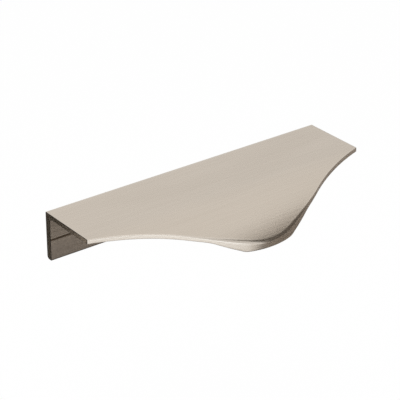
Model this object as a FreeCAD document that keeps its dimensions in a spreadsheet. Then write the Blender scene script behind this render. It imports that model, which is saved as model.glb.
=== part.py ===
import FreeCAD, Part
import math
import os
import Sketcher
from FreeCAD import Vector

# Tab pull for the top edge of a drawer front or cabinet door, in millimetres.
# One extruded piece: a screw flange that hangs behind the front, a plate that lies over the
# front's top edge, and a plate edge cut to a wave whose nose droops into a finger grip.
# X runs along the pull, the front looks to -Y and +Z is up. The origin is the middle of the
# screw line, on the face of the flange that seats on the back of the front.

doc = FreeCAD.newDocument("tab_pull")

# Driving dimensions: name, size and meaning
DIMENSIONS = [
    ("length", 100, "overall length along X"),
    ("plate_wall", 1.5, "wall of the plate and of its droop"),
    ("flange_wall", 2.1, "wall of the screw flange"),
    ("flange_drop", 15.2, "height of the flange below the plate's top"),
    ("end_depth", 21.4, "depth of the plate at both ends"),
    ("projection", 42.2, "depth of the plate at the nose"),
    ("droop_start", 20, "depth where the plate starts to curve down"),
    ("droop_radius", 39, "radius of the plate's top along the droop"),
    ("lip_height", 2.4, "height of the lip at the tip of the nose"),
    ("lip_land", 2, "flat under the lip, back from the tip of the nose"),
    ("lip_angle", 45, "slope of the lip's finger side, in degrees"),
    ("lip_blend", 1.2, "rounding between the finger side and the flat"),
    ("finger_blend", 5, "rounding between the finger side and the plate's underside"),
    ("nose_radius", 22.3, "plan radius of the nose"),
    ("nose_half_width", 7.8, "half of the width that the nose's arc spans"),
    ("shoulder_radius", 103, "plan radius of the convex stretch beside the nose"),
    ("hollow_radius", 114, "plan radius of the concave stretch out to each end"),
    ("inner_fillet", 1, "fillet between the plate's underside and the flange"),
    ("heel_radius", 1, "rounding of the flange's lower back edge"),
    ("nose_round", 1.5, "rounding of the wave's upper edge along the nose"),
    ("hollow_round", 0.3, "rounding of the wave's upper edge along the hollows"),
    ("under_round", 0.3, "rounding of the wave's lower edge"),
    ("scribe_drop", 8.5, "depth of the screw line below the plate's top"),
    ("scribe_width", 0.7, "width of the groove that marks the screw line"),
    ("scribe_depth", 0.3, "depth of that groove"),
    ("hole_spacing", 64, "distance between the two screw holes"),
    ("hole_bore", 4, "diameter of a screw hole"),
    ("sink_bore", 7, "diameter of a countersink at the flange's back"),
    ("sink_angle", 90, "angle of a countersink, in degrees"),
    ("trim_margin", 1.5, "stock outside the wave before it is cut"),
]

sheet = doc.addObject("Spreadsheet::Sheet", "Sizes")
for row, (alias, value, meaning) in enumerate(DIMENSIONS, start=1):
    sheet.set(f"A{row}", meaning)
    sheet.set(f"B{row}", str(value))
    sheet.setAlias(f"B{row}", alias)
doc.recompute()

body = doc.addObject("PartDesign::Body", "Stamping")

# The places on a sketched curve, in the order of their numbers
PLACES = ["whole", "start", "end", "centre"]
START = PLACES.index("start")
END = PLACES.index("end")
CENTRE = PLACES.index("centre")
ZERO_POINT = (-1, 1)
ALONG = Vector(1, 0, 0)
UP = Vector(0, 0, 1)
QUARTER_TURN = math.pi / 2
TOLERANCE = 0.001


def origin_plane(role):
    return next(item for item in body.Origin.OriginFeatures if item.Role == role)


def new_sketch(name, role):
    sketch = body.newObject("Sketcher::SketchObject", name)
    sketch.AttachmentSupport = (origin_plane(role), [""])
    sketch.MapMode = "FlatFace"
    return sketch


def add_line(sketch, start, end):
    return sketch.addGeometry(Part.LineSegment(Vector(*start, 0), Vector(*end, 0)))


# Adds the arc that runs anticlockwise from one angle to the other, in radians
def add_arc(sketch, centre, radius, first, last):
    circle = Part.Circle(Vector(*centre, 0), UP, radius)
    return sketch.addGeometry(Part.ArcOfCircle(circle, first, last))


def tie(sketch, kind, *where):
    sketch.addConstraint(Sketcher.Constraint(kind, *where))


# Ties a length, radius or angle of a sketch to the sheet
def measure(sketch, kind, *where, rule):
    value = float(sketch.evalExpression(rule))
    index = sketch.addConstraint(Sketcher.Constraint(kind, *where, value))
    sketch.setExpression(f"Constraints[{index}]", rule)


def add_fillet(name, base, edges, rule):
    rounding = body.newObject("PartDesign::Fillet", name)
    rounding.Base = (base, edges)
    rounding.setExpression("Radius", rule)
    doc.recompute()
    return rounding


# Name of the edge that runs along X through a point of the section sketch
def long_edge_through(shape, point):
    for number, edge in enumerate(shape.Edges, start=1):
        middle = edge.CenterOfMass
        if math.hypot(middle.x, middle.y - point.x, middle.z - point.y) < TOLERANCE:
            return f"Edge{number}"
    raise ValueError(f"no edge runs along the pull through {point}")


# Names of the edges where a face of one kind meets a face of another
def edges_between(shape, first_kind, second_kind):
    names = []
    for number, edge in enumerate(shape.Edges, start=1):
        faces = shape.ancestorsOfType(edge, Part.Face)
        if len(faces) != 2:
            continue
        one, other = faces
        if (first_kind(one) and second_kind(other)) or (first_kind(other) and second_kind(one)):
            names.append(f"Edge{number}")
    return names


# Cross-section of the extrusion, seen along X. The sketch's zero is the top back corner, and
# depths from the back count as negative.
droop_start = sheet.droop_start
droop_radius = sheet.droop_radius
under_radius = droop_radius - sheet.plate_wall
projection = sheet.projection
stock_depth = projection + sheet.trim_margin
droop_centre = (-droop_start, -droop_radius)


# Height of an arc about the droop's centre at a given depth
def droop_height(radius, depth):
    return math.sqrt(radius**2 - (depth - droop_start)**2) - droop_radius


tip_point = (-projection, droop_height(droop_radius, projection))
lip_bottom = tip_point[1] - sheet.lip_height
stock_top = droop_height(droop_radius, stock_depth)
stock_turn = math.asin((stock_depth - droop_start) / droop_radius)
land_end = projection - sheet.lip_land
slope = math.tan(math.radians(sheet.lip_angle))
finger_depth = land_end - (droop_height(under_radius, land_end) - lip_bottom) / slope
finger_turn = math.asin((finger_depth - droop_start) / under_radius)
finger_top = (-finger_depth, droop_height(under_radius, finger_depth))
wall = sheet.plate_wall
flange = sheet.flange_wall
drop = sheet.flange_drop
fillet = sheet.inner_fillet
heel = sheet.heel_radius

section = new_sketch("Section", "YZ_Plane")
top = add_line(section, (0, 0), (-droop_start, 0))
droop = add_arc(section, droop_centre, droop_radius, QUARTER_TURN, QUARTER_TURN + stock_turn)
stock_front = add_line(section, (-stock_depth, stock_top), (-stock_depth, lip_bottom))
land = add_line(section, (-stock_depth, lip_bottom), (-land_end, lip_bottom))
finger_side = add_line(section, (-land_end, lip_bottom), finger_top)
under_droop = add_arc(section, droop_centre, under_radius, QUARTER_TURN, QUARTER_TURN + finger_turn)
underside = add_line(section, (-droop_start, -wall), (-flange - fillet, -wall))
inner = add_arc(section, (-flange - fillet, -wall - fillet), fillet, 0, QUARTER_TURN)
seat = add_line(section, (-flange, -wall - fillet), (-flange, -drop))
foot = add_line(section, (-flange, -drop), (-heel, -drop))
heel_arc = add_arc(section, (-heel, -drop + heel), heel, -QUARTER_TURN, 0)
back = add_line(section, (0, -drop + heel), (0, 0))
tip = section.addGeometry(Part.Point(Vector(*tip_point, 0)), True)

tie(section, "Coincident", top, START, *ZERO_POINT)
tie(section, "Tangent", top, END, droop, START)
tie(section, "Coincident", droop, END, stock_front, START)
tie(section, "Coincident", stock_front, END, land, START)
tie(section, "Coincident", land, END, finger_side, START)
tie(section, "Coincident", finger_side, END, under_droop, END)
tie(section, "Coincident", under_droop, CENTRE, droop, CENTRE)
tie(section, "Tangent", under_droop, START, underside, START)
tie(section, "Tangent", underside, END, inner, END)
tie(section, "Tangent", inner, START, seat, START)
tie(section, "Coincident", seat, END, foot, START)
tie(section, "Tangent", foot, END, heel_arc, START)
tie(section, "Tangent", heel_arc, END, back, START)
tie(section, "Coincident", back, END, top, START)
tie(section, "PointOnObject", tip, START, droop)
for level_line in (top, land, underside, foot):
    tie(section, "Horizontal", level_line)
for upright_line in (stock_front, seat, back):
    tie(section, "Vertical", upright_line)
measure(section, "DistanceX", top, END, top, START, rule="Sizes.droop_start")
measure(section, "Radius", droop, rule="Sizes.droop_radius")
measure(section, "Radius", under_droop, rule="Sizes.droop_radius - Sizes.plate_wall")
measure(section, "DistanceX", stock_front, START, *ZERO_POINT, rule="Sizes.projection + Sizes.trim_margin")
measure(section, "DistanceX", tip, START, *ZERO_POINT, rule="Sizes.projection")
measure(section, "DistanceY", land, START, tip, START, rule="Sizes.lip_height")
measure(section, "DistanceX", land, END, *ZERO_POINT, rule="Sizes.projection - Sizes.lip_land")
measure(section, "Radius", inner, rule="Sizes.inner_fillet")
measure(section, "Radius", heel_arc, rule="Sizes.heel_radius")
measure(section, "DistanceX", seat, END, *ZERO_POINT, rule="Sizes.flange_wall")
measure(section, "DistanceY", seat, END, *ZERO_POINT, rule="Sizes.flange_drop")
finger_slope = section.addConstraint(Sketcher.Constraint("Angle", finger_side, math.radians(sheet.lip_angle)))
section.setExpression(f"Constraints[{finger_slope}]", "Sizes.lip_angle * 1 deg")
doc.recompute()

blank = body.newObject("PartDesign::Pad", "Blank")
blank.Profile = section
blank.SideType = "Symmetric"
blank.setExpression("Length", "Sizes.length")
doc.recompute()

# The lip swells out of the droop's wall and ends in a blunt edge
finger_edge = long_edge_through(blank.Shape, section.getPoint(finger_side, END))
finger_blend = add_fillet("FingerBlend", blank, [finger_edge], "Sizes.finger_blend")
land_edge = long_edge_through(finger_blend.Shape, section.getPoint(finger_side, START))
lip_blend = add_fillet("LipBlend", finger_blend, [land_edge], "Sizes.lip_blend")

# Outline of the plate, seen from above: a nose, and on each side a convex shoulder and a concave
# hollow, all tangent. The shoulder's and the hollow's angles follow from the radii and the ends.
nose_centre = (0, sheet.nose_radius - projection)
nose_turn = math.asin(sheet.nose_half_width / sheet.nose_radius)
reach = sheet.shoulder_radius - sheet.nose_radius
shoulder_centre = (-reach * math.sin(nose_turn), nose_centre[1] + reach * math.cos(nose_turn))
end_point = (sheet.length / 2, -sheet.end_depth)
span = math.dist(shoulder_centre, end_point)
both_radii = sheet.shoulder_radius + sheet.hollow_radius
span_angle = math.atan2(end_point[1] - shoulder_centre[1], end_point[0] - shoulder_centre[0])
corner = math.acos((both_radii**2 + span**2 - sheet.hollow_radius**2) / (2 * both_radii * span))
shoulder_turn = span_angle - corner + QUARTER_TURN
hollow_centre = (
    shoulder_centre[0] + both_radii * math.sin(shoulder_turn),
    shoulder_centre[1] - both_radii * math.cos(shoulder_turn),
)
hollow_turn = math.atan2(hollow_centre[0] - end_point[0], end_point[1] - hollow_centre[1])

outline = new_sketch("Outline", "XY_Plane")
side = end_point[0] + sheet.trim_margin
front = -stock_depth - sheet.trim_margin
nose = add_arc(outline, nose_centre, sheet.nose_radius, -QUARTER_TURN - nose_turn, -QUARTER_TURN + nose_turn)
shoulders = []
hollows = []
for hand in (1, -1):
    shoulder_turns = sorted((hand * nose_turn, hand * shoulder_turn))
    hollow_turns = sorted((hand * hollow_turn, hand * shoulder_turn))
    shoulders.append(add_arc(
        outline, (hand * shoulder_centre[0], shoulder_centre[1]), sheet.shoulder_radius,
        shoulder_turns[0] - QUARTER_TURN, shoulder_turns[1] - QUARTER_TURN,
    ))
    hollows.append(add_arc(
        outline, (hand * hollow_centre[0], hollow_centre[1]), sheet.hollow_radius,
        hollow_turns[0] + QUARTER_TURN, hollow_turns[1] + QUARTER_TURN,
    ))
right_shoulder, left_shoulder = shoulders
right_hollow, left_hollow = hollows
right_step = add_line(outline, end_point, (side, end_point[1]))
right_side = add_line(outline, (side, end_point[1]), (side, front))
front_side = add_line(outline, (side, front), (-side, front))
left_side = add_line(outline, (-side, front), (-side, end_point[1]))
left_step = add_line(outline, (-side, end_point[1]), (-end_point[0], end_point[1]))

tie(outline, "Vertical", *ZERO_POINT, nose, CENTRE)
tie(outline, "Tangent", nose, END, right_shoulder, START)
tie(outline, "Tangent", right_shoulder, END, right_hollow, END)
tie(outline, "Tangent", nose, START, left_shoulder, END)
tie(outline, "Tangent", left_shoulder, START, left_hollow, START)
tie(outline, "Equal", right_shoulder, left_shoulder)
tie(outline, "Equal", right_hollow, left_hollow)
tie(outline, "Coincident", right_hollow, START, right_step, START)
tie(outline, "Coincident", right_step, END, right_side, START)
tie(outline, "Coincident", right_side, END, front_side, START)
tie(outline, "Coincident", front_side, END, left_side, START)
tie(outline, "Coincident", left_side, END, left_step, START)
tie(outline, "Coincident", left_step, END, left_hollow, END)
for level_line in (right_step, front_side, left_step):
    tie(outline, "Horizontal", level_line)
for upright_line in (right_side, left_side):
    tie(outline, "Vertical", upright_line)
measure(outline, "Radius", nose, rule="Sizes.nose_radius")
measure(outline, "Radius", right_shoulder, rule="Sizes.shoulder_radius")
measure(outline, "Radius", right_hollow, rule="Sizes.hollow_radius")
measure(outline, "DistanceY", nose, CENTRE, *ZERO_POINT, rule="Sizes.projection - Sizes.nose_radius")
measure(outline, "DistanceX", *ZERO_POINT, nose, END, rule="Sizes.nose_half_width")
measure(outline, "DistanceX", nose, START, *ZERO_POINT, rule="Sizes.nose_half_width")
measure(outline, "DistanceX", *ZERO_POINT, right_step, START, rule="Sizes.length / 2")
measure(outline, "DistanceX", left_step, END, *ZERO_POINT, rule="Sizes.length / 2")
measure(outline, "DistanceY", right_step, START, *ZERO_POINT, rule="Sizes.end_depth")
measure(outline, "DistanceY", left_step, END, *ZERO_POINT, rule="Sizes.end_depth")
measure(outline, "DistanceX", right_step, START, right_step, END, rule="Sizes.trim_margin")
measure(outline, "DistanceX", left_step, START, left_step, END, rule="Sizes.trim_margin")
measure(outline, "DistanceY", front_side, END, *ZERO_POINT, rule="Sizes.projection + 2 * Sizes.trim_margin")

wave = body.newObject("PartDesign::Pocket", "Wave")
wave.Profile = outline
wave.Type = "ThroughAll"
doc.recompute()


def is_round_about(face, axis):
    return isinstance(face.Surface, Part.Cylinder) and face.Surface.Axis.cross(axis).Length < TOLERANCE


def is_wave_face(face):
    return is_round_about(face, UP)


# Faces of the extrusion keep their direction along the pull
def is_extruded_face(face):
    is_flat = isinstance(face.Surface, Part.Plane) and abs(face.Surface.Axis.dot(ALONG)) < TOLERANCE
    return is_flat or is_round_about(face, ALONG)


def is_top_face(face):
    on_droop = is_round_about(face, ALONG) and abs(face.Surface.Radius - droop_radius) < TOLERANCE
    return on_droop or (is_extruded_face(face) and abs(face.CenterOfMass.z) < TOLERANCE)


def is_under_face(face):
    return is_extruded_face(face) and not is_top_face(face)


# The wave's lower edge is rounded a little along its whole run
under_edges = edges_between(wave.Shape, is_wave_face, is_under_face)
under_round = add_fillet("UnderRound", wave, under_edges, "Sizes.under_round")

# The groove that marks the screw line on the seat, a narrow V along the whole flange
screw_line = -sheet.scribe_drop
groove_half = sheet.scribe_width / 2
groove_top = (-flange, screw_line + groove_half)
groove_bottom = (-flange, screw_line - groove_half)
groove_root = (sheet.scribe_depth - flange, screw_line)

scribe = new_sketch("Scribe", "YZ_Plane")
mouth = add_line(scribe, groove_bottom, groove_top)
upper_side = add_line(scribe, groove_top, groove_root)
lower_side = add_line(scribe, groove_root, groove_bottom)
tie(scribe, "Coincident", mouth, END, upper_side, START)
tie(scribe, "Coincident", upper_side, END, lower_side, START)
tie(scribe, "Coincident", lower_side, END, mouth, START)
tie(scribe, "Vertical", mouth)
tie(scribe, "Equal", upper_side, lower_side)
measure(scribe, "DistanceY", mouth, START, mouth, END, rule="Sizes.scribe_width")
measure(scribe, "DistanceX", mouth, START, *ZERO_POINT, rule="Sizes.flange_wall")
measure(scribe, "DistanceX", mouth, START, lower_side, START, rule="Sizes.scribe_depth")
measure(scribe, "DistanceY", lower_side, START, *ZERO_POINT, rule="Sizes.scribe_drop")
doc.recompute()

scribe_cut = body.newObject("PartDesign::Pocket", "ScribeCut")
scribe_cut.Profile = scribe
scribe_cut.SideType = "Symmetric"
scribe_cut.setExpression("Length", "Sizes.length + 2 * Sizes.trim_margin")
doc.recompute()

# Two screw holes on that line, countersunk from the flange's back
hole_centre = new_sketch("HoleCentre", "XZ_Plane")
hole_point = Vector(sheet.hole_spacing / 2, screw_line, 0)
bore = hole_centre.addGeometry(Part.Circle(hole_point, UP, sheet.hole_bore / 2))
measure(hole_centre, "Diameter", bore, rule="Sizes.hole_bore")
measure(hole_centre, "DistanceX", *ZERO_POINT, bore, CENTRE, rule="Sizes.hole_spacing / 2")
measure(hole_centre, "DistanceY", bore, CENTRE, *ZERO_POINT, rule="Sizes.scribe_drop")
doc.recompute()

screw_hole = body.newObject("PartDesign::Hole", "ScrewHole")
screw_hole.Profile = hole_centre
screw_hole.Reversed = True
screw_hole.DepthType = "ThroughAll"
screw_hole.DrillPoint = "Flat"
screw_hole.HoleCutType = "Countersink"
screw_hole.HoleCutCustomValues = True
screw_hole.setExpression("Diameter", "Sizes.hole_bore")
screw_hole.setExpression("HoleCutDiameter", "Sizes.sink_bore")
screw_hole.setExpression("HoleCutCountersinkAngle", "Sizes.sink_angle * 1 deg")
doc.recompute()

both_holes = body.newObject("PartDesign::Mirrored", "BothHoles")
both_holes.Originals = [screw_hole]
both_holes.MirrorPlane = (origin_plane("YZ_Plane"), [""])
body.Tip = both_holes
doc.recompute()

# The wave's upper edge is polished round along the nose. The radius falls evenly along each
# shoulder to a small one, which the hollows keep.
shoulder_end = shoulder_centre[0] + sheet.shoulder_radius * math.sin(shoulder_turn)


def round_at(across):
    share = (abs(across) - sheet.nose_half_width) / (shoulder_end - sheet.nose_half_width)
    share = min(max(share, 0), 1)
    return sheet.nose_round + share * (sheet.hollow_round - sheet.nose_round)


# A run of tangent edges is rounded in the direction of its first edge, and each edge's two radii
# follow that direction
def rounding_rows(shape, names):
    edges = [shape.getElement(name) for name in names]
    first = edges[0].Curve
    rightward = first.value(edges[0].LastParameter).x > first.value(edges[0].FirstParameter).x
    rows = []
    for name, edge in zip(names, edges):
        ends = sorted((vertex.X for vertex in edge.Vertexes), reverse=not rightward)
        rows.append((int(name.removeprefix("Edge")), round_at(ends[0]), round_at(ends[-1])))
    return rows


pull = doc.addObject("Part::Fillet", "UpperRound")
pull.Label = "tab_pull"
pull.Base = body
pull.Edges = rounding_rows(body.Shape, edges_between(body.Shape, is_wave_face, is_top_face))

# The whole pull moves so that its origin is the middle of the screw line, on the seat
pull.setExpression("Placement.Base.y", "Sizes.flange_wall * 1 mm")
pull.setExpression("Placement.Base.z", "Sizes.scribe_drop * 1 mm")
doc.recompute()

# Every sketch is fully held, every cut takes material away, and nothing has failed
for sketch in (section, outline, scribe, hole_centre):
    if not sketch.FullyConstrained:
        raise ValueError(f"{sketch.Name} is not fully held by its sizes")
steps = [lip_blend, wave, under_round, scribe_cut, screw_hole, both_holes, pull]
for earlier, later in zip(steps, steps[1:]):
    if later.Shape.Volume > earlier.Shape.Volume - 0.01:
        raise ValueError(f"{later.Name} takes nothing away")
for item in doc.Objects:
    if "Invalid" in item.State or "Error" in item.State:
        raise ValueError(f"{item.Name} has failed: {item.State}")
if pull.Shape.isNull() or not pull.Shape.isValid() or len(pull.Shape.Solids) != 1:
    raise ValueError("the pull is not one valid solid")

os.makedirs("parts", exist_ok=True)
pull.Shape.exportStep(f"parts/{pull.Label}.step")
box = pull.Shape.optimalBoundingBox()
print(f"tab pull: {box.XLength:.2f} x {box.YLength:.2f} x {box.ZLength:.2f} mm, {pull.Shape.Volume:.1f} mm3")
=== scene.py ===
import math
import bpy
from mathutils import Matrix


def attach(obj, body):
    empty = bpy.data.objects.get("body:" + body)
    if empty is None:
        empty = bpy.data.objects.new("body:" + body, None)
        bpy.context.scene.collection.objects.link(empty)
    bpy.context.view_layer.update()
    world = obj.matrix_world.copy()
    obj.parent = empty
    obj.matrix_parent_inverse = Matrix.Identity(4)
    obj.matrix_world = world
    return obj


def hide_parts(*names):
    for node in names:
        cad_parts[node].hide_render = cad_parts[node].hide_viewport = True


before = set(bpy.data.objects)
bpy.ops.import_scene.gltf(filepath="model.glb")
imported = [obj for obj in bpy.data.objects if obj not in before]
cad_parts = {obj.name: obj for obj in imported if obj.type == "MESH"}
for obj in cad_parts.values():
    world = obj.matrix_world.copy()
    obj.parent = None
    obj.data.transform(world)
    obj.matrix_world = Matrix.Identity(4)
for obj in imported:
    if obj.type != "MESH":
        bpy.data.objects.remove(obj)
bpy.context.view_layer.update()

from types import SimpleNamespace

import bpy
from mathutils import Matrix, Vector

print("scene: frame loaded")


# A socket of a node tree, so that maths on it reads as Python
class Wire:
    def __init__(self, tree, socket):
        self.tree = tree
        self.socket = socket

    def maths(self, operation, *values):
        return addNode(self.tree, "ShaderNodeMath", {"operation": operation}, dict(enumerate(values)))

    def __add__(self, other):
        return self.maths("ADD", self, other)

    def __radd__(self, other):
        return self.maths("ADD", other, self)

    def __sub__(self, other):
        return self.maths("SUBTRACT", self, other)

    def __rsub__(self, other):
        return self.maths("SUBTRACT", other, self)

    def __mul__(self, other):
        return self.maths("MULTIPLY", self, other)

    def __rmul__(self, other):
        return self.maths("MULTIPLY", other, self)

    def __truediv__(self, other):
        return self.maths("DIVIDE", self, other)

    def __rtruediv__(self, other):
        return self.maths("DIVIDE", other, self)

    def __neg__(self):
        return self.maths("MULTIPLY", self, -1)

    def __abs__(self):
        return self.maths("ABSOLUTE", self)


# Adds a node with its settings, joins or sets its sockets, and returns one of its outputs
def addNode(tree, kind, settings, sockets, output=0):
    node = tree.nodes.new(kind)
    for name, value in settings.items():
        setattr(node, name, value)
    for name, value in sockets.items():
        for item in value if isinstance(value, list) else [value]:
            if isinstance(item, Wire):
                tree.links.new(item.socket, node.inputs[name])
            else:
                node.inputs[name].default_value = item
    return Wire(tree, node.outputs[output]) if len(node.outputs) else None


def root(value):
    return value.maths("SQRT", value)


def sine(angle):
    return angle.maths("SINE", angle)


def cosine(angle):
    return angle.maths("COSINE", angle)


def higher(value, other):
    return value.maths("MAXIMUM", value, other)


def lower(value, other):
    return value.maths("MINIMUM", value, other)


# 1 where the value is no further than its reach from a place, and 0 elsewhere
def within(value, place, reach):
    return value.maths("COMPARE", value, place, reach)


# One value where the first is below its limit, and another elsewhere
def whereBelow(value, limit, below, above):
    sockets = {0: value.maths("LESS_THAN", value, limit), "True": below, "False": above}
    return addNode(value.tree, "GeometryNodeSwitch", {"input_type": "FLOAT"}, sockets)


# The three parts of a place
def splitPlace(tree, place):
    part = addNode(tree, "ShaderNodeSeparateXYZ", {}, {0: place})
    return [Wire(tree, socket) for socket in part.socket.node.outputs]


# Sockets 6 and 7 of a Mix node are its two colours, and its output 2 is their mix
def mixColours(tree, share, colour, other):
    return addNode(tree, "ShaderNodeMix", {"data_type": "RGBA"}, {0: share, 6: colour, 7: other}, 2)


def startMaterial(name):
    material = bpy.data.materials.new(name)
    material.use_nodes = True
    material.node_tree.nodes.clear()
    return material, material.node_tree


# Warm satin nickel, brushed along the pull, with sizes in metres. The seat's depth, its foot and the
# sawn edges are each a place and a reach either side of it.
satinMetal = {
    "light": (0.62, 0.551, 0.472, 1),
    "dark": (0.562, 0.495, 0.419, 1),
    "burnished": (0.68, 0.62, 0.55, 1),
    # painted shade: darkens the groove's root and a thin line along the seat's foot
    "dirt": (0.22, 0.185, 0.15, 1),
    # painted shade: a dark line along the sawn edges at the ends
    "cut": (0.035, 0.03, 0.025, 1),
    "hairline": {"length": 0.012, "width": 0.0002, "start": 3.1, "contrast": 0.6},
    "brushMark": {"length": 0.04, "width": 0.0007, "start": 7.7, "contrast": 0.9},
    "clouding": {"length": 0.03, "width": 0.012, "start": 11.3, "contrast": 0.8},
    "roughness": 0.27,
    "roughnessSpread": 0.1,
    "brushMarkShare": 0.5,
    "bumpHeight": 0.00003,
    "hairlineRelief": 0.2,
    "wornColour": 0.55,
    "wornRoughness": 0.05,
    "wornRelief": 0.85,
    # where the painted shade lies: the groove's reach, the seat's depth, the seat's foot and the sawn
    # edges
    "grooveReach": 0.00045,
    "seat": (0.0002, 0.0003),
    "footEdge": (-0.00653, 0.00016),
    "sawnEdge": (0.04992, 0.00007),
}


def makeSatinMetal():
    look = SimpleNamespace(**satinMetal)
    material, tree = startMaterial("satinMetal")
    place = addNode(tree, "ShaderNodeTexCoord", {}, {}, "Object")

    def streaks(kind):
        start = (kind["start"],) * 3
        scale = (1 / kind["length"], 1 / kind["width"], 1 / kind["width"])
        sockets = {"Vector": place, "Location": start, "Scale": scale}
        point = addNode(tree, "ShaderNodeMapping", {}, sockets)
        sockets = {"Vector": point, "Scale": 1, "Detail": 2, "Roughness": 0.55}
        return addNode(tree, "ShaderNodeTexNoise", {}, sockets) - 0.5

    hairline = streaks(look.hairline)
    brushMark = streaks(look.brushMark)
    clouding = streaks(look.clouding)
    wear = addNode(tree, "ShaderNodeAttribute", {"attribute_name": "wear"}, {}, "Fac")
    shade = 0.5 + hairline * look.hairline["contrast"] + brushMark * look.brushMark["contrast"]
    shade = shade + clouding * look.clouding["contrast"]
    brushed = mixColours(tree, shade, look.dark, look.light)
    polished = mixColours(tree, wear * (look.wornColour + brushMark), brushed, look.burnished)

    # Painted shade darkens the groove's root and a thin line along the foot of the seat, and a painted
    # dark line of shade runs along the sawn edges
    across, back, high = splitPlace(tree, place)
    grooveRoot = higher(1 - abs(high) / look.grooveReach, 0)
    dirt = higher(grooveRoot, within(high, *look.footEdge)) * within(back, *look.seat)
    withPaintedShade = mixColours(tree, dirt, polished, look.dirt)
    # the painted dark line of shade on the bevels of the sawn ends
    colour = mixColours(tree, within(abs(across), *look.sawnEdge), withPaintedShade, look.cut)

    grain = hairline + brushMark * look.brushMarkShare
    roughness = look.roughness + grain * look.roughnessSpread - wear * look.wornRoughness
    relief = (hairline * look.hairlineRelief + brushMark) * (1 - look.wornRelief * wear)
    sockets = {"Height": relief, "Distance": look.bumpHeight, "Strength": 1}
    bump = addNode(tree, "ShaderNodeBump", {}, sockets)
    sockets = {"Base Color": colour, "Metallic": 1, "Roughness": roughness, "Normal": bump}
    shader = addNode(tree, "ShaderNodeBsdfPrincipled", {}, sockets)
    addNode(tree, "ShaderNodeOutputMaterial", {}, {"Surface": shader})
    return material


metal = makeSatinMetal()
print("scene: finish made")

# The pull's sizes in millimetres, as its source has them, and the number of points along its skin.
# Depths are measured forward from the flange's back and heights up from the plate's top.
tabPull = {
    "length": 100,
    "plateWall": 1.5,
    "flangeWall": 2.1,
    "flangeDrop": 15.2,
    "endDepth": 21.4,
    "projection": 42.2,
    "droopStart": 20,
    "droopRadius": 39,
    "lipHeight": 2.4,
    "lipLand": 2,
    "lipBlend": 1.2,
    "fingerBlend": 5,
    "noseRadius": 22.3,
    "noseHalfWidth": 7.8,
    "shoulderRadius": 103,
    "hollowRadius": 114,
    "innerFillet": 1,
    "heelRadius": 1,
    "noseRound": 1.5,
    "hollowRound": 0.3,
    "underRound": 0.3,
    "scribeDrop": 8.5,
    "scribeWidth": 0.7,
    "scribeDepth": 0.3,
    "holeSpacing": 64,
    "holeBore": 4,
    "sinkBore": 7,
    "edgeBreak": 0.15,
    "stations": 401,
}

# Rows of faces across each strip of the skin. Rows of the two wide strips crowd towards the wave.
skinRows = {
    "upperRound": 12,
    "top": 44,
    "heel": 6,
    "fillet": 6,
    "underside": 56,
    "lowerRound": 8,
    "waveFace": 4,
    "crowding": 0.6,
}
quarterTurn = math.pi / 2
eighthTurn = math.pi / 4
mergeReach = 0.004  # millimetres
cornerReach = 0.01  # millimetres
sharpAngle = 0.6  # radians
holeSides = 64


# Depth of the wave at a distance from the middle, the cosine of its turn and its edge's rounding
def traceWave(size, side):
    noseTurn = side.maths("ARCSINE", size.noseHalfWidth / size.noseRadius)
    reach = size.shoulderRadius - size.noseRadius
    shoulderX = -reach * sine(noseTurn)
    shoulderY = reach * cosine(noseTurn) + size.noseRadius - size.projection
    gapX = size.length / 2 - shoulderX
    gapY = -size.endDepth - shoulderY
    span = root(gapX * gapX + gapY * gapY)
    both = size.shoulderRadius + size.hollowRadius
    corner = (both * both + span * span - size.hollowRadius * size.hollowRadius) / (2 * both * span)
    shoulderTurn = gapY.maths("ARCTAN2", gapY, gapX) - corner.maths("ARCCOSINE", corner) + quarterTurn
    shoulderEnd = shoulderX + size.shoulderRadius * sine(shoulderTurn)
    hollowX = shoulderX + both * sine(shoulderTurn)
    hollowY = shoulderY - both * cosine(shoulderTurn)

    noseSine = side / size.noseRadius
    shoulderSine = (side - shoulderX) / size.shoulderRadius
    hollowSine = (hollowX - side) / size.hollowRadius
    outerSine = whereBelow(side, shoulderEnd, shoulderSine, hollowSine)
    turnSine = whereBelow(side, size.noseHalfWidth, noseSine, outerSine)
    turnCosine = root(1 - turnSine * turnSine)
    noseDepth = size.noseRadius * turnCosine + size.projection - size.noseRadius
    shoulderDepth = size.shoulderRadius * turnCosine - shoulderY
    hollowDepth = -hollowY - size.hollowRadius * turnCosine
    outerDepth = whereBelow(side, shoulderEnd, shoulderDepth, hollowDepth)
    depth = whereBelow(side, size.noseHalfWidth, noseDepth, outerDepth)

    share = higher(lower((side - size.noseHalfWidth) / (shoulderEnd - size.noseHalfWidth), 1), 0)
    eased = share * share * (3 - 2 * share)
    return depth, turnCosine, size.noseRound + eased * (size.hollowRound - size.noseRound)


# Height of the plate's top, or with the wall taken off the radius, of its underside
def droopHeight(size, depth, radius):
    run = higher(depth - size.droopStart, 0)
    return root(radius * radius - run * run) - size.droopRadius


# Height of the underside from the flange to the nose, with the lip and its two blends
def undersideHeight(size, depth):
    underRadius = size.droopRadius - size.plateWall
    lipBottom = droopHeight(size, size.projection, size.droopRadius) - size.lipHeight
    landEnd = size.projection - size.lipLand
    bendRun = landEnd + size.lipBlend * math.tan(eighthTurn / 2) - depth
    bendWidth = size.lipBlend * math.sin(eighthTurn)
    run = higher(lower(bendRun, bendWidth), 0)
    bend = lipBottom + size.lipBlend - root(size.lipBlend * size.lipBlend - run * run)
    lip = bend + higher(bendRun - bendWidth, 0)

    blendReach = underRadius - size.fingerBlend
    total = landEnd + lipBottom - size.fingerBlend * math.sqrt(2) - size.droopStart + size.droopRadius
    rise = (total + root(2 * blendReach * blendReach - total * total)) / 2
    blendDepth = size.droopStart + total - rise
    blendHeight = rise - size.droopRadius
    blendStart = size.droopStart + (total - rise) * underRadius / blendReach
    blendEnd = blendDepth + size.fingerBlend * math.sin(eighthTurn)
    run = depth - blendDepth
    blend = blendHeight + root(size.fingerBlend * size.fingerBlend - run * run)
    inner = whereBelow(depth, blendStart, droopHeight(size, depth, underRadius), blend)
    return whereBelow(depth, blendEnd, inner, lip)


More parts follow.
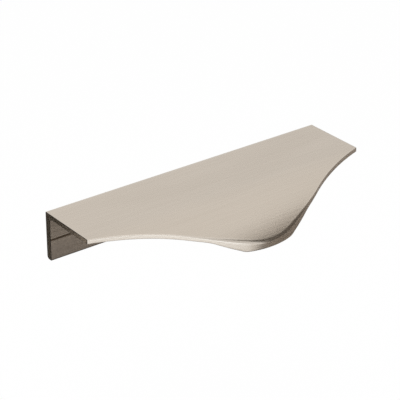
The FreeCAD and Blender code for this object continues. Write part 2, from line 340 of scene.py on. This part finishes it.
def storeValue(tree, geometry, name, domain, value):
    settings = {"data_type": "FLOAT", "domain": domain}
    sockets = {"Geometry": geometry, "Name": name, "Value": value}
    return addNode(tree, "GeometryNodeStoreNamedAttribute", settings, sockets)


# The skin of the pull: strips that run its whole length, one after another around its section.
# Each starts as a flat grid, and share runs from 0 to 1 across it.
def makeSkin(tree, size):
    rows = SimpleNamespace(**skinRows)
    across, grid, _ = splitPlace(tree, addNode(tree, "GeometryNodeInputPosition", {}, {}))
    along = across * size.length / 2
    share = grid + 0.5
    strips = []

    def strip(count, depth, height, wear=0):
        sockets = {"Size X": 2, "Size Y": 1, "Vertices X": size.stations, "Vertices Y": count + 1}
        flat = addNode(tree, "GeometryNodeMeshGrid", {}, sockets)
        point = {"X": along, "Y": size.flangeWall - depth, "Z": height + size.scribeDrop}
        sockets = {"Geometry": flat, "Position": addNode(tree, "ShaderNodeCombineXYZ", {}, point)}
        placed = addNode(tree, "GeometryNodeSetPosition", {}, sockets)
        strips.append(storeValue(tree, placed, "wear", "POINT", wear))

    def flatStrip(start, end):
        strip(1, start[0] + share * (end[0] - start[0]), start[1] + share * (end[1] - start[1]))

    def roundStrip(count, centre, radius, turn):
        strip(count, centre[0] - radius * cosine(share * turn), centre[1] + radius * sine(share * turn))

    depth, turnCosine, rounding = traceWave(size, abs(along))

    # Upper rounding, from the wave's face to the slope of the top, which is taken a little inside
    insetShare = 0.45
    run = higher(depth - insetShare * rounding / turnCosine - size.droopStart, 0)
    slope = run / root(size.droopRadius * size.droopRadius - run * run) * turnCosine
    tilt = slope.maths("ARCTANGENT", slope)
    topDepth = depth - rounding * (1 - sine(tilt)) / turnCosine
    upperCentre = droopHeight(size, topDepth, size.droopRadius) - rounding * cosine(tilt)
    angle = quarterTurn + (tilt - quarterTurn) * share
    roundDepth = depth - rounding * (1 - sine(angle)) / turnCosine
    strip(rows.upperRound, roundDepth, upperCentre + rounding * cosine(angle), 1)

    # Top, and down the flange's back
    top = topDepth * (1 - share * (1 - rows.crowding + rows.crowding * share))
    strip(rows.top, top, droopHeight(size, top, size.droopRadius))
    heelHeight = size.heelRadius - size.flangeDrop
    flatStrip((0, 0), (0, heelHeight))
    roundStrip(rows.heel, (size.heelRadius, heelHeight), size.heelRadius, -quarterTurn)

    # Foot, seat with its groove, and inner fillet
    foot = (size.flangeWall, -size.flangeDrop)
    grooveLow = (size.flangeWall, -size.scribeDrop - size.scribeWidth / 2)
    grooveRoot = (size.flangeWall - size.scribeDepth, -size.scribeDrop)
    grooveHigh = (size.flangeWall, size.scribeWidth / 2 - size.scribeDrop)
    filletStart = (size.flangeWall, -size.plateWall - size.innerFillet)
    filletCentre = (size.flangeWall + size.innerFillet, filletStart[1])
    flatStrip((size.heelRadius, -size.flangeDrop), foot)
    flatStrip(foot, grooveLow)
    flatStrip(grooveLow, grooveRoot)
    flatStrip(grooveRoot, grooveHigh)
    flatStrip(grooveHigh, filletStart)
    roundStrip(rows.fillet, filletCentre, size.innerFillet, quarterTurn)

    # Underside, lower rounding and the wave's face
    step = 0.05
    rise = undersideHeight(size, depth - step) - undersideHeight(size, depth)
    slope = rise / step * turnCosine
    tilt = slope.maths("ARCTANGENT", slope)
    lowDepth = depth - size.underRound * (1 + sine(tilt)) / turnCosine
    lowerCentre = undersideHeight(size, lowDepth) + size.underRound * cosine(tilt)
    inward = (1 - share) * (1 - rows.crowding * share)
    under = lowDepth - (lowDepth - size.flangeWall - size.innerFillet) * inward
    strip(rows.underside, under, undersideHeight(size, under))
    angle = (quarterTurn + tilt) * (1 - share)
    roundDepth = depth - size.underRound * (1 - cosine(angle)) / turnCosine
    strip(rows.lowerRound, roundDepth, lowerCentre - size.underRound * sine(angle), 1)
    strip(rows.waveFace, depth, lowerCentre + (upperCentre - lowerCentre) * share)
    return strips


def joinPieces(tree, pieces):
    joined = addNode(tree, "GeometryNodeJoinGeometry", {}, {"Geometry": pieces})
    sockets = {"Geometry": joined, "Distance": mergeReach}
    return addNode(tree, "GeometryNodeMergeByDistance", {}, sockets)


def moveAndTurn(tree, geometry, across=0, back=0, turn=(0, 0, 0)):
    shift = addNode(tree, "ShaderNodeCombineXYZ", {}, {"X": across, "Y": back})
    sockets = {"Geometry": geometry, "Translation": shift, "Rotation": turn}
    return addNode(tree, "GeometryNodeTransform", {}, sockets)


# Both ends are filled from the ring of edges at the skin's right end
def closeEnds(tree, size, skin):
    half = size.length / 2
    across = splitPlace(tree, addNode(tree, "GeometryNodeInputPosition", {}, {}))[0]
    atEnd = across.maths("GREATER_THAN", across, half - cornerReach)
    ring = addNode(tree, "GeometryNodeMeshToCurve", {}, {"Mesh": skin, "Selection": atEnd})
    level = moveAndTurn(tree, ring, turn=(0, quarterTurn, 0))
    filled = addNode(tree, "GeometryNodeFillCurve", {"mode": "NGONS"}, {"Curve": level})
    upright = moveAndTurn(tree, filled, turn=(0, -quarterTurn, 0))
    leftEnd = moveAndTurn(tree, upright, across=-half)
    rightEnd = moveAndTurn(tree, upright, across=half)
    rightEnd = addNode(tree, "GeometryNodeFlipFaces", {}, {"Mesh": rightEnd})
    return joinPieces(tree, [skin, leftEnd, rightEnd])


# Two screw holes, countersunk from the flange's back. The cutters stand out past the flange.
def cutHoles(tree, size, pull):
    rim = 1
    radius = size.sinkBore / 2 + rim
    sockets = {"Vertices": holeSides, "Radius Bottom": radius, "Depth": radius}
    cone = addNode(tree, "GeometryNodeMeshCone", {}, sockets)
    sink = moveAndTurn(tree, cone, back=size.flangeWall + rim, turn=(quarterTurn, 0, 0))
    sockets = {"Vertices": holeSides, "Radius": size.holeBore / 2, "Depth": 3 * size.flangeWall}
    cylinder = addNode(tree, "GeometryNodeMeshCylinder", {}, sockets)
    drill = moveAndTurn(tree, cylinder, turn=(quarterTurn, 0, 0))
    start = addNode(tree, "ShaderNodeCombineXYZ", {}, {"X": -size.holeSpacing / 2})
    step = addNode(tree, "ShaderNodeCombineXYZ", {}, {"X": size.holeSpacing})
    sockets = {"Count": 2, "Start Location": start, "Offset": step}
    points = addNode(tree, "GeometryNodeMeshLine", {}, sockets)
    cutters = []
    for tool in (sink, drill):
        sockets = {"Points": points, "Instance": tool}
        copies = addNode(tree, "GeometryNodeInstanceOnPoints", {}, sockets)
        cutters.append(addNode(tree, "GeometryNodeRealizeInstances", {}, {"Geometry": copies}))
    settings = {"operation": "DIFFERENCE", "solver": "MANIFOLD"}
    return addNode(tree, "GeometryNodeMeshBoolean", settings, {"Mesh 1": pull, "Mesh 2": cutters})


# The sawn ends and the two long corners of the flange get a bevel weight and wear, and other corners
# stay sharp
def markEdges(tree, size, pull):
    across, back, high = splitPlace(tree, addNode(tree, "GeometryNodeInputPosition", {}, {}))
    corner = across.maths("GREATER_THAN", abs(across), size.length / 2 - cornerReach)
    plateBack = (size.flangeWall, size.scribeDrop)
    seatFoot = (0, size.scribeDrop - size.flangeDrop)
    for cornerBack, cornerHigh in (plateBack, seatFoot):
        apart = higher(abs(back - cornerBack), abs(high - cornerHigh))
        corner = higher(corner, apart.maths("LESS_THAN", apart, cornerReach))
    weighted = storeValue(tree, pull, "bevel_weight_edge", "EDGE", corner)
    wear = addNode(tree, "GeometryNodeInputNamedAttribute", {"data_type": "FLOAT"}, {"Name": "wear"})
    worn = storeValue(tree, weighted, "wear", "POINT", higher(wear, corner))
    sockets = {"Geometry": worn, "Shade Smooth": True}
    smooth = addNode(tree, "GeometryNodeSetShadeSmooth", {"domain": "FACE"}, sockets)
    angle = addNode(tree, "GeometryNodeInputMeshEdgeAngle", {}, {})
    crease = angle.maths("GREATER_THAN", angle, sharpAngle) - corner
    sockets = {"Geometry": smooth, "Selection": crease, "Shade Smooth": False}
    return addNode(tree, "GeometryNodeSetShadeSmooth", {"domain": "EDGE"}, sockets)


def makePullTree():
    tree = bpy.data.node_groups.new("tabPull", "GeometryNodeTree")
    for name in tabPull:
        kind = "NodeSocketInt" if name == "stations" else "NodeSocketFloat"
        tree.interface.new_socket(name=name, in_out="INPUT", socket_type=kind)
    tree.interface.new_socket(name="Geometry", in_out="OUTPUT", socket_type="NodeSocketGeometry")
    source = tree.nodes.new("NodeGroupInput")
    size = SimpleNamespace(**{name: Wire(tree, source.outputs[name]) for name in tabPull})
    skin = joinPieces(tree, makeSkin(tree, size))
    pull = markEdges(tree, size, cutHoles(tree, size, closeEnds(tree, size, skin)))
    sockets = {"Geometry": pull, "Scale": (0.001, 0.001, 0.001)}
    metres = addNode(tree, "GeometryNodeTransform", {}, sockets)
    real = addNode(tree, "GeometryNodeRealizeInstances", {}, {"Geometry": metres})
    dressed = addNode(tree, "GeometryNodeSetMaterial", {}, {"Geometry": real, "Material": metal})
    result = tree.nodes.new("NodeGroupOutput")
    tree.links.new(dressed.socket, result.inputs["Geometry"])
    return tree


# The result of an object's modifiers, as a plain mesh
def takeMesh(item):
    bpy.context.view_layer.update()
    return bpy.data.meshes.new_from_object(item.evaluated_get(bpy.context.evaluated_depsgraph_get()))


def makePull():
    tree = makePullTree()
    item = bpy.data.objects.new("tabPull", bpy.data.meshes.new("empty"))
    bpy.context.scene.collection.objects.link(item)
    skin = item.modifiers.new("skin", "NODES")
    skin.node_group = tree
    for socket in tree.interface.items_tree:
        if socket.in_out == "INPUT":
            value = tabPull[socket.name]
            skin[socket.identifier] = value if socket.name == "stations" else float(value)
    bevel = item.modifiers.new("edgeBreak", "BEVEL")
    bevel.limit_method = "WEIGHT"
    bevel.width = tabPull["edgeBreak"] / 1000
    bevel.segments = 2
    bevel.harden_normals = True
    mesh = takeMesh(item)
    item.modifiers.clear()
    item.data = mesh
    return item


pull = makePull()
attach(pull, "root")
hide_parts("tab_pull")
print("scene: pull made,", len(pull.data.polygons), "faces")

# A pale floor well below the pull, a world that is a little brighter overhead and two soft lamps.
# The world's light rises as a direction nears brighterSide, between the two cosines in brighterFrom.
studio = {
    "floorSize": 6,
    "floorHeight": -0.14,
    "floorColour": (0.95, 0.95, 0.95, 1),
    "floorGlow": 0.85,
    "horizonLight": 0.845,
    "overheadLight": 1.005,
    "brighterSide": (-0.4, 0.3, 0.86),
    "brighterFrom": (0.25, 0.55),
    "softbox": {
        "place": (-0.25, -0.35, 0.75),
        "size": (0.5, 0.5),
        "power": 1.2,
        "tint": (1, 1, 1),
    },
    "lowLamp": {
        "place": (-0.11, -0.27, -0.09),
        "size": (0.2, 0.09),
        "power": 0.04,
        "tint": (0.86, 1, 1.17),
    },
}

# Cards that only the metal's reflections see, as a product photographer sets them up: each one's
# colour and corners
cards = {
    "noseCard": {
        "colour": (0.12, 0.105, 0.09, 1),
        "corners": [
            (0.1, -0.065, -0.02),
            (0.1, -0.3, -0.02),
            (0.1, -0.3, 0.37),
            (0.1, -0.065, 0.161),
        ],
    },
    "shoulderCard": {
        "colour": (0.35, 0.32, 0.29, 1),
        "corners": [
            (0.1, -0.022, -0.02),
            (0.1, -0.065, -0.02),
            (0.1, -0.065, 0.161),
            (0.1, -0.022, 0.123),
        ],
    },
    "faceCard": {
        "colour": (0.27, 0.24, 0.215, 1),
        "corners": [
            (0.1, -0.005, -0.139),
            (0.1, -0.3, -0.139),
            (0.1, -0.3, -0.02),
            (0.1, -0.005, -0.02),
        ],
    },
    "flangeCard": {
        "colour": (0.165, 0.148, 0.135, 1),
        "corners": [
            (-0.02, -0.2, -0.138),
            (0.1, -0.34, -0.138),
            (0.1, 0.15, -0.138),
            (-0.02, 0.15, -0.138),
        ],
    },
    "endCard": {
        "colour": (0.34, 0.3, 0.26, 1),
        "corners": [
            (-0.075, 0.024, -0.11),
            (-0.075, -0.03, -0.11),
            (-0.075, -0.03, 0.02),
            (-0.075, 0.024, 0.02),
        ],
    },
    "backCard": {
        "colour": (0.045, 0.038, 0.028, 1),
        "corners": [
            (-0.075, 0.09, -0.11),
            (-0.075, 0.024, -0.11),
            (-0.075, 0.024, 0.02),
            (-0.075, 0.09, 0.02),
        ],
    },
    "underCard": {
        "colour": (0.05, 0.045, 0.035, 1),
        "corners": [
            (-0.075, -0.03, -0.11),
            (-0.055, -0.03, -0.11),
            (-0.055, 0.09, -0.11),
            (-0.075, 0.09, -0.11),
        ],
    },
}
white = (1, 1, 1, 1)


def addPlane(name, corners, material):
    mesh = bpy.data.meshes.new(name)
    mesh.from_pydata(corners, [], [(0, 1, 2, 3)])
    mesh.materials.append(material)
    item = bpy.data.objects.new(name, mesh)
    bpy.context.scene.collection.objects.link(item)
    return item


def isRay(tree, kind):
    return addNode(tree, "ShaderNodeLightPath", {}, {}, f"Is {kind} Ray")


# The camera and the metal's reflections see the floor close to white, and it keeps some of the shadow.
# From below it is clear, so that the pull's underside can be seen.
def makeFloor():
    material, tree = startMaterial("paleFloor")
    seen = isRay(tree, "Camera") + isRay(tree, "Glossy") + isRay(tree, "Transmission")
    glow = lower(seen, 1) * studio["floorGlow"]
    dull = addNode(tree, "ShaderNodeBsdfDiffuse", {}, {"Color": studio["floorColour"]})
    bright = addNode(tree, "ShaderNodeEmission", {}, {"Color": white, "Strength": 1})
    above = addNode(tree, "ShaderNodeMixShader", {}, {0: glow, 1: dull, 2: bright})
    below = addNode(tree, "ShaderNodeBsdfTransparent", {}, {})
    fromBelow = addNode(tree, "ShaderNodeNewGeometry", {}, {}, "Backfacing")
    surface = addNode(tree, "ShaderNodeMixShader", {}, {0: fromBelow, 1: above, 2: below})
    addNode(tree, "ShaderNodeOutputMaterial", {}, {"Surface": surface})
    half, height = studio["floorSize"] / 2, studio["floorHeight"]
    ground = [(-half, -half, height), (half, -half, height), (half, half, height), (-half, half, height)]
    addPlane("floor", ground, material)


# The camera sees the world plain white, and everything else sees its own nearly white light
def makeWorld():
    world = bpy.data.worlds.new("studio")
    world.use_nodes = True
    tree = world.node_tree
    tree.nodes.clear()
    direction = addNode(tree, "ShaderNodeTexCoord", {}, {}, "Generated")
    sockets = {0: direction, 1: studio["brighterSide"]}
    facing = addNode(tree, "ShaderNodeVectorMath", {"operation": "DOT_PRODUCT"}, sockets, "Value")
    dimmest, brightest = studio["brighterFrom"]
    sockets = {"Value": facing, "From Min": dimmest, "From Max": brightest}
    share = addNode(tree, "ShaderNodeMapRange", {"interpolation_type": "SMOOTHSTEP"}, sockets)
    strength = studio["horizonLight"] + share * (studio["overheadLight"] - studio["horizonLight"])
    strength = strength + isRay(tree, "Camera") * (1 - strength)
    light = addNode(tree, "ShaderNodeBackground", {}, {"Color": white, "Strength": strength})
    addNode(tree, "ShaderNodeOutputWorld", {}, {"Surface": light})
    bpy.context.scene.world = world


def makeCard(name):
    material, tree = startMaterial(name)
    dull = addNode(tree, "ShaderNodeBsdfDiffuse", {}, {"Color": cards[name]["colour"]})
    addNode(tree, "ShaderNodeOutputMaterial", {}, {"Surface": dull})
    card = addPlane(name, cards[name]["corners"], material)
    card.visible_camera = False
    card.visible_diffuse = False
    card.visible_transmission = False
    card.visible_shadow = False


def makeLamp(name):
    data = bpy.data.lights.new(name, "AREA")
    data.shape = "RECTANGLE"
    data.size, data.size_y = studio[name]["size"]
    data.energy = studio[name]["power"]
    data.color = studio[name]["tint"]
    lamp = bpy.data.objects.new(name, data)
    lamp.location = studio[name]["place"]
    lamp.rotation_euler = (-lamp.location).to_track_quat("-Z", "Y").to_euler()
    lamp.visible_camera = False
    bpy.context.scene.collection.objects.link(lamp)


makeFloor()
makeWorld()
for name in cards:
    makeCard(name)
makeLamp("softbox")
makeLamp("lowLamp")
print("scene: studio made")

# The camera as fitted to the photo: angles in degrees, the lens in millimetres and the rest in metres
shot = {
    "azimuth": -37.097,
    "elevation": 27.044,
    "roll": 0.05,
    "lens": 154.79,
    "distance": 0.51954,
    "across": 0.004439,
    "above": -0.010332,
    "aim": (0, 0.0021, 0.0085),
    "nearest": 0.01,
}


def makeCamera():
    azimuth = math.radians(shot["azimuth"])
    elevation = math.radians(shot["elevation"])
    roll = math.radians(shot["roll"])
    level = math.cos(elevation)
    back = Vector((math.sin(azimuth) * level, -math.cos(azimuth) * level, math.sin(elevation)))
    right = Vector((0, 0, 1)).cross(back).normalized()
    up = back.cross(right)
    turnedRight = right * math.cos(roll) + up * math.sin(roll)
    turnedUp = up * math.cos(roll) - right * math.sin(roll)
    centre = Vector(shot["aim"]) + shot["across"] * turnedRight + shot["above"] * turnedUp
    data = bpy.data.cameras.new("camera")
    data.lens = shot["lens"]
    data.clip_start = shot["nearest"]
    camera = bpy.data.objects.new("camera", data)
    pose = Matrix((turnedRight, turnedUp, back)).transposed().to_4x4()
    pose.translation = centre + shot["distance"] * back
    camera.matrix_world = pose
    bpy.context.scene.collection.objects.link(camera)
    bpy.context.scene.camera = camera


makeCamera()
bpy.context.scene.view_settings.view_transform = "Standard"
print("scene: camera set")
